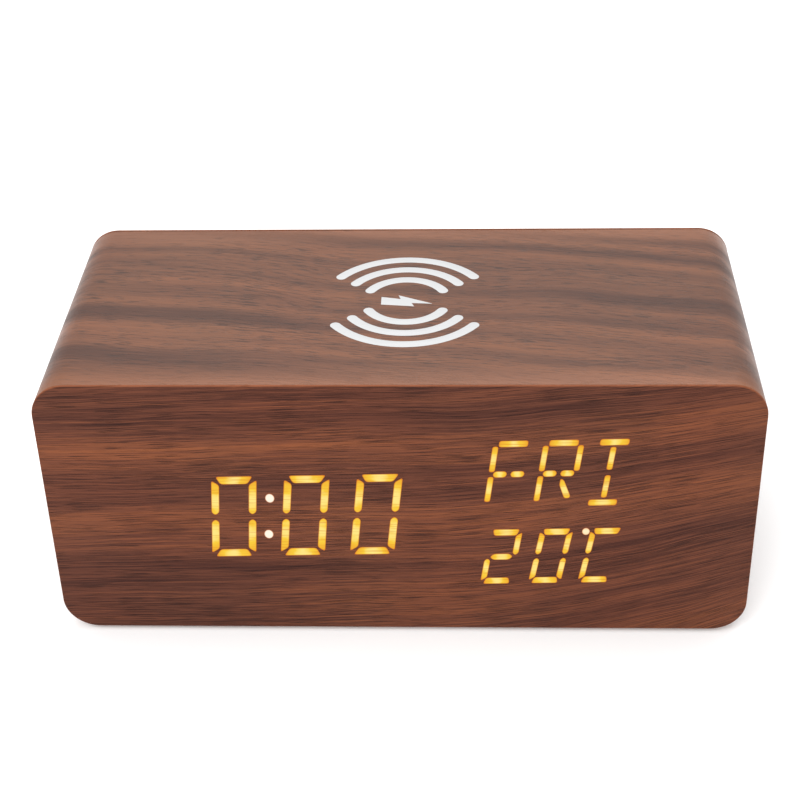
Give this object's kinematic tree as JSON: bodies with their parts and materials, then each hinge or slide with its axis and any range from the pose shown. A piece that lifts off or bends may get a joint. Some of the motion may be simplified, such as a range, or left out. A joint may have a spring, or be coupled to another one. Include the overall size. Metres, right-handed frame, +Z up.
{
  "type": "alarm clock",
  "caption": "Wooden block alarm clock: light display shining through the veneered front, wireless charging top, rear panel with buttons, sound switch, power inlet and coin-cell door.",
  "frame": {"origin": "middle of the footprint on the table, under the feet", "axes": "+Z up, -Y out of the display's face, +X to the right as the display is read"},
  "size_m": [0.15, 0.067, 0.0652],
  "materials": {
    "walnut_front": "satin lacquered walnut veneer",
    "walnut_wrap": "satin walnut wood wrap",
    "fibreboard": "raw fibreboard",
    "rubber": "matte",
    "diffuser": "milky film",
    "white_plastic": "satin",
    "circuit_board": "solder mask",
    "screw_steel": "zinc plated",
    "chip": "moulded resin",
    "panel_black": "fine spark texture",
    "button_black": "satin",
    "switch_black": "satin",
    "bright_steel": "nickel plated",
    "contact_brass": "sprung strip",
    "copper": "wound copper wire",
    "ferrite": "sintered",
    "red_insulation": "soft vinyl",
    "black_insulation": "soft vinyl",
    "grey_insulation": "soft vinyl"
  },
  "bodies": {
    "case": {"front_veneer": "walnut_front", "rear_veneer": "walnut_front", "side_wrap": "walnut_wrap", "carcass": "fibreboard", "foot_1": "rubber", "foot_2": "rubber", "foot_3": "rubber", "foot_4": "rubber", "diffuser_film": "diffuser", "light_mask": "white_plastic", "display_header": "white_plastic", "control_header": "white_plastic", "coil_tray": "white_plastic", "display_board": "circuit_board", "control_board": "circuit_board", "charger_board": "circuit_board", "display_screw_1": "screw_steel", "display_screw_2": "screw_steel", "display_screw_3": "screw_steel", "display_screw_4": "screw_steel", "panel_screw_1": "screw_steel", "panel_screw_2": "screw_steel", "panel_screw_3": "screw_steel", "panel_screw_4": "screw_steel", "board_screw_1": "screw_steel", "board_screw_2": "screw_steel", "tray_screw_1": "screw_steel", "tray_screw_2": "screw_steel", "driver_chip": "chip", "controller_chip": "chip", "charger_chip": "chip", "rear_panel": "panel_black", "set_switch": "switch_black", "up_switch": "switch_black", "down_switch": "switch_black", "buzzer": "switch_black", "inlet_core": "switch_black", "filter_capacitor": "switch_black", "temp_sensor": "switch_black", "battery_cell": "bright_steel", "inlet_shell": "bright_steel", "sound_switch_frame": "bright_steel", "clock_crystal": "bright_steel", "microphone": "bright_steel", "battery_contact_minus": "contact_brass", "battery_contact_plus": "contact_brass", "charging_coil": "copper", "ferrite_sheet": "ferrite", "charger_choke": "ferrite", "power_lead_red": "red_insulation", "power_lead_black": "black_insulation", "ribbon_cable": "grey_insulation"},
    "set_key": {"set_button": "button_black", "set_plunger": "switch_black"},
    "up_key": {"up_button": "button_black", "up_plunger": "switch_black"},
    "down_key": {"down_button": "button_black", "down_plunger": "switch_black"},
    "sound_slider": {"sound_switch_knob": "button_black"},
    "door": {"battery_door": "panel_black"}
  },
  "joints": [
    {"name": "set_press", "type": "slide", "parent": "case", "child": "set_key", "axis": [0, -1, 0], "range_m": [0, 0.0005], "stiffness_N_per_m": 2000, "springref_m": -0.0003},
    {"name": "up_press", "type": "slide", "parent": "case", "child": "up_key", "axis": [0, -1, 0], "range_m": [0, 0.0005], "stiffness_N_per_m": 2000, "springref_m": -0.0003},
    {"name": "down_press", "type": "slide", "parent": "case", "child": "down_key", "axis": [0, -1, 0], "range_m": [0, 0.0005], "stiffness_N_per_m": 2000, "springref_m": -0.0003},
    {"name": "sound_slide", "type": "slide", "parent": "case", "child": "sound_slider", "axis": [1, 0, 0], "range_m": [0, 0.0025]},
    {"name": "door_lift_off", "type": "slide", "parent": "case", "child": "door", "axis": [0, 1, 0], "range_m": [0, 0.015]}
  ]
}
